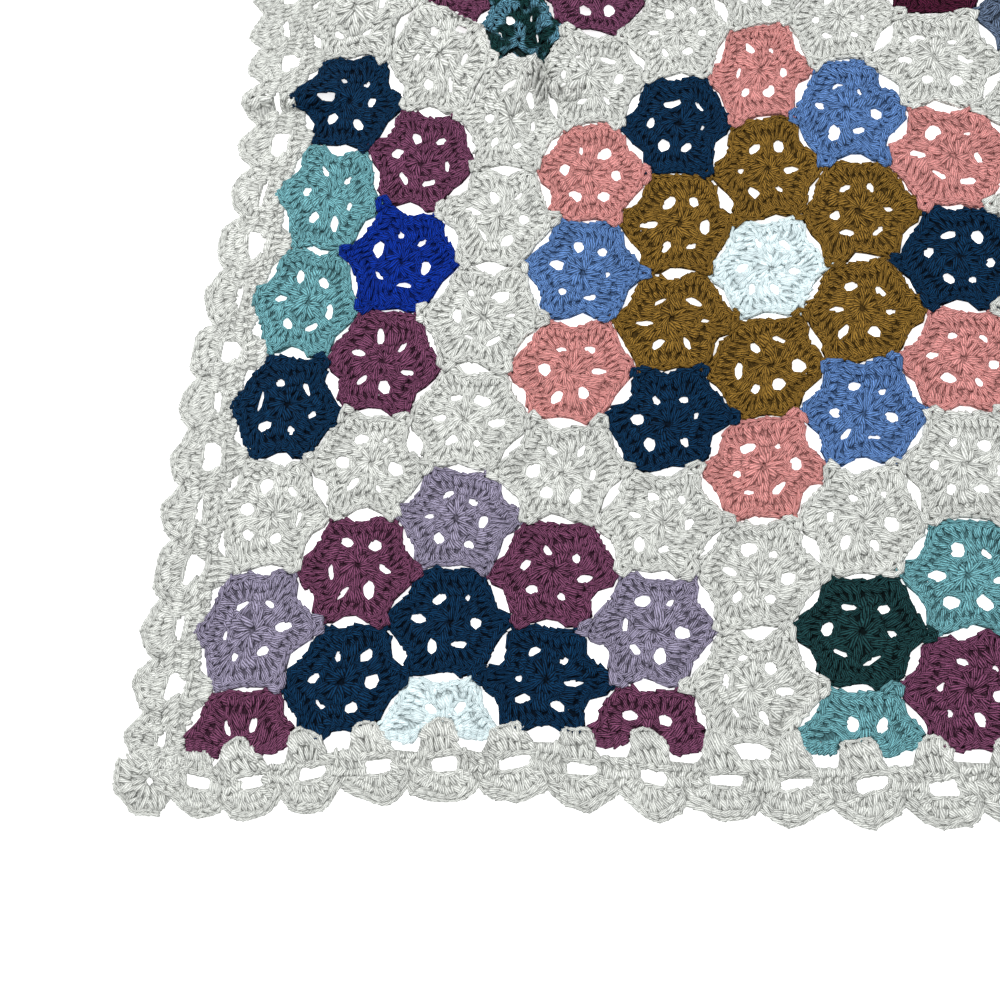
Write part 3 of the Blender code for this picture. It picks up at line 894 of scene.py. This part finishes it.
WINDOW_LONG, WINDOW_SQUARE, LINING_OUT, LINING_RUNS = 0.0210, 0.72, 0.0016, 12
FEET_IN = 0.0022  # how far off a window the feet of what stands over it are
OVER_WINDOWS = {
    # the window's depth, half the feet's width, half the heads' width and how far in the heads are, which
    # are on a dome's rim where nothing is given, stitches
    "dome": (0.0085, 0.0115, None, None, 7),
    "end": (0.0085, 0.0115, 0.0080, 0.0480, 6),
    "notch": (0.0145, 0.0095, 0.0050, 0.0620, 4),
    "pushed": (0.0055, 0.0085, 0.0070, 0.0450, 4),
}
DOME_HEADS, DOME_ROPE = 0.0086, 0.0090
BETWEEN_WINDOWS = [
    # half the feet's width and how far in they are, the same for the heads, way that it leans, stitches
    (0.0075, 0.0400, 0.0060, 0.0505, 0, 3),
    (0.0075, 0.0285, 0.0090, 0.0415, 1, 4),
    (0.0095, 0.0155, 0.0080, 0.0300, -1, 4),
]
BAY_GAP = 0.0070  # on the near and far sides, from the motifs to the heads between two windows
SLANT = 0.0024
CORNER_SHELL, CORNER_FEET, CORNER_HEADS, CORNER_HEAD_HALF = 0.024, 0.0035, 0.0234, 0.0052
CORNER_STITCHES = np.arange(14) * math.tau / 14
CORNER_ROPES, CORNER_ENDS = ((0.0238, 13), (0.0264, 15)), (-116, 26)  # radii and points; degrees


def cluster(feet, heads, count):
    """Tall stitches side by side from between two feet to between two heads."""
    feet, heads = np.array(feet), np.array(heads)
    rows = []
    for share in np.linspace(0, 1, count):
        foot, head = ((1 - share) * two[0] + share * two[1] for two in (feet, heads))
        rows += tall_stitch(foot, head, HALF_STITCH, HALF_STITCH, 0.0, EDGING_WIDE)
    return rows


def ends(middle, half, inwards, shift=0.0):
    """The two feet or heads that a cluster lies between."""
    return [(middle - half + shift, inwards), (middle + half + shift, inwards)]


def fan(feet, heads, head_half, lift=0.0):
    """Tall stitches from each foot to its head, which spread as they go."""
    rows = []
    for foot, head in zip(feet, heads):
        rows += tall_stitch(foot, head, NARROW_FOOT, head_half, lift, EDGING_WIDE)
    return rows


def lining(middle, half_x, half_y):
    """The runs round a window, which round off its corners."""
    turns = np.linspace(0, math.tau, LINING_RUNS + 1)
    away = np.stack([np.cos(turns), np.sin(turns)], axis=1)
    return rope(np.array(middle) + (half_x, half_y) * np.sign(away) * np.abs(away) ** WINDOW_SQUARE)


def shell(window, window_in, low, high):
    """A scallop: eight tall stitches fanned out of the window, the braid over them and the rope round it."""
    middle, half = (low + high) / 2, (high - low) / 2

    def rim(shares, inwards, drawn_in=0.0):
        return [(middle + (half - drawn_in) * share, inwards + SCALLOP_DEEP * abs(share) ** SCALLOP_BEND)
                for share in shares]

    spread = np.linspace(-0.95, 0.95, SHELL_STITCHES)
    feet = [(window + SHELL_FEET * share, window_in - SHELL_FEET_OUT) for share in spread]
    rows = fan(feet, rim(spread, 0.0065, drawn_in=0.0035), head_half=0.0030)
    rows += braid(rim(np.linspace(-1, 1, SHELL_STITCHES), 0.0048, drawn_in=0.0020), half=0.0015)
    return rows + rope(rim(np.linspace(-1.02, 1.02, 11), 0.0018), lift=-0.0003)


def dome(place, top, feet):
    """A half round of tall stitches that reaches in between two motifs, and the rope round it."""

    def rim(radius, degrees):
        return [(place + radius * math.sin(a), top + radius * math.cos(a)) for a in np.radians(degrees)]

    rows = fan(feet, rim(DOME_HEADS, np.linspace(-88, 88, len(feet))), head_half=0.0024, lift=0.0008)
    return rows + rope(rim(DOME_ROPE, np.linspace(-100, 100, 10)), lift=0.0014)


def over_window(kind, place, window, window_in, top):
    """The lining of a window, and what stands over it: tall stitches, and the braid along their feet."""
    deep, feet_half, heads_half, heads_in, count = OVER_WINDOWS[kind]
    rows = lining((window, window_in + deep / 2), WINDOW_LONG / 2 + LINING_OUT, deep / 2 + LINING_OUT)
    feet_in = window_in + deep + FEET_IN

    def feet(shares):
        return [(window + feet_half * share, feet_in) for share in shares]

    if kind == "dome":
        rows += dome(place, top, feet(np.linspace(-1, 1, count)))
    else:
        over = window if kind == "end" else place
        rows += cluster(ends(window, feet_half, feet_in), ends(over, heads_half, heads_in), count)
    return rows + braid(feet(np.linspace(-1.15, 1.05, 5)), half=0.0013)


def between_windows(bay, dip, top, level):
    """The clusters under a dip between two scallops, from the motifs outwards. The outer two lean one way
    and the other by turns, as the next round pulled on them. On a level side they are the only two."""
    slant = SLANT if bay % 2 else -SLANT
    rows = []
    for feet_half, feet_in, heads_half, heads_in, way, count in BETWEEN_WINDOWS[1 if level else 0 :]:
        if level and way == 1:
            heads_in = top - BAY_GAP - (LEG if bay % 3 else 0)
        lean = way * slant
        rows += cluster(ends(dip, feet_half, feet_in, -lean), ends(dip, heads_half, heads_in, lean), count)
    return rows


def corner_shell(corner):
    """The scallop at a corner: tall stitches all round its middle, and two ropes round its outer side."""
    middle = np.array([corner, CORNER_SHELL])
    ways = np.stack([np.cos(CORNER_STITCHES), np.sin(CORNER_STITCHES)], axis=1)
    rows = fan(middle + CORNER_FEET * ways, middle + CORNER_HEADS * ways, CORNER_HEAD_HALF)
    for radius, count in CORNER_ROPES:
        rows += rope([(corner + radius * math.cos(a), CORNER_SHELL + radius * math.sin(a))
                      for a in np.radians(np.linspace(*CORNER_ENDS, count))])
    return rows


def side_of_edging(side):
    """The runs of one side and the corner at its end, along it and inwards from its scallops' peaks."""
    _, count, step, crowd, creep, window_in = SIDES[side]
    level = side in ("near", "far")
    deep, long = (EDGE_Y, EDGE_X) if level else (EDGE_X, EDGE_Y)
    top = deep - CUT_EDGE
    last = (count - 1) / 2 * step
    even = [(k - (count - 1) / 2) * step for k in range(count)]
    windows = [s - crowd * s / last * abs(s / last) ** 5 + creep for s in even]
    corner = long - CORNER_SHELL
    stops = [-corner, *windows, corner]
    dips = [(a + b) / 2 for a, b in zip(stops, stops[1:])]
    rows = []
    for k, (place, window) in enumerate(zip(even, windows)):
        if level:
            kind = "dome" if 0 < k < count - 1 else "end"
        else:
            kind = "pushed" if (k - count // 2) % 2 else "notch"
        rows += shell(window, window_in, dips[k], dips[k + 1])
        rows += over_window(kind, place, window, window_in, top)
    for k, dip in enumerate(dips):
        rows += between_windows(k - len(dips) // 2, dip, top, level)
    return np.array(rows + corner_shell(corner)), deep


edging_runs = {}
for side, (degrees, *_) in SIDES.items():
    rows, deep = side_of_edging(side)
    c, s = round(math.cos(math.radians(degrees))), round(math.sin(math.radians(degrees)))
    for first in (0, 2):
        along, inwards = rows[:, first].copy(), rows[:, first + 1] - deep
        rows[:, first], rows[:, first + 1] = c * along - s * inwards, s * along + c * inwards
    edging_runs[side] = np.column_stack([rows, rng.uniform(-1, 1, len(rows))])
for seed, sides in ((500, ("near", "far")), (501, ("left", "right"))):
    runs = np.concatenate([edging_runs[side] for side in sides])
    finish = bpy.data.materials["oatmeal_cotton"]
    crochet("edging_stitches_" + "_".join(sides), runs, finish, seed, EDGING_UNEVEN_TURN)
bpy.data.objects.remove(yarn_run)

# ---- Floor, light and camera -----------------------------------------
# A plain white surface under an even, soft light, and the camera where the photograph was taken from:
# above the blanket's near side, turned to its near left corner.
FLOOR = 6.0  # from its middle to its sides
mesh = bpy.data.meshes.new("floor")
corners = [(-FLOOR, -FLOOR, 0), (FLOOR, -FLOOR, 0), (FLOOR, FLOOR, 0), (-FLOOR, FLOOR, 0)]
mesh.from_pydata(corners, [], [(0, 1, 2, 3)])
floor = placed("floor", mesh)
f = Finish("white_floor")
f.set(Base_Color=(0.9, 0.9, 0.9, 1), Roughness=0.8, Emission_Color=(1, 1, 1, 1), Emission_Strength=0.75)
mesh.materials.append(f.material)

world = bpy.data.worlds.new("soft_room")
bpy.context.scene.world = world
world.use_nodes = True
daylight = world.node_tree.nodes["Background"].inputs
daylight["Color"].default_value, daylight["Strength"].default_value = (0.97, 0.98, 1.0, 1), 0.75
for name, at, size, power in (("softbox", (-0.9, 0.6, 1.9), 1.2, 34), ("fill", (1.2, -0.6, 1.6), 1.4, 12)):
    lamp = bpy.data.lights.new(name, "AREA")
    lamp.size, lamp.energy = size, power
    light = placed(name, lamp)
    light.location = at
    light.rotation_mode = "QUATERNION"
    light.rotation_quaternion = (-Vector(at)).to_track_quat("-Z", "Y")

camera = bpy.data.cameras.new("camera")
camera.lens, camera.sensor_width = 54.0, 36.0
eye = placed("camera", camera)
stand, aim, roll = Vector((0.0091, -0.5405, 0.9904)), Vector((-0.1817, -0.1895, 0.0)), -25.644
eye.location = stand - Vector((*MIDDLE, 0.0))
eye.rotation_mode = "QUATERNION"
eye.rotation_quaternion = (aim - stand).to_track_quat("-Z", "Y") @ Quaternion((0, 0, 1), math.radians(roll))
bpy.context.scene.camera = eye
bpy.context.scene.view_settings.view_transform = "Standard"
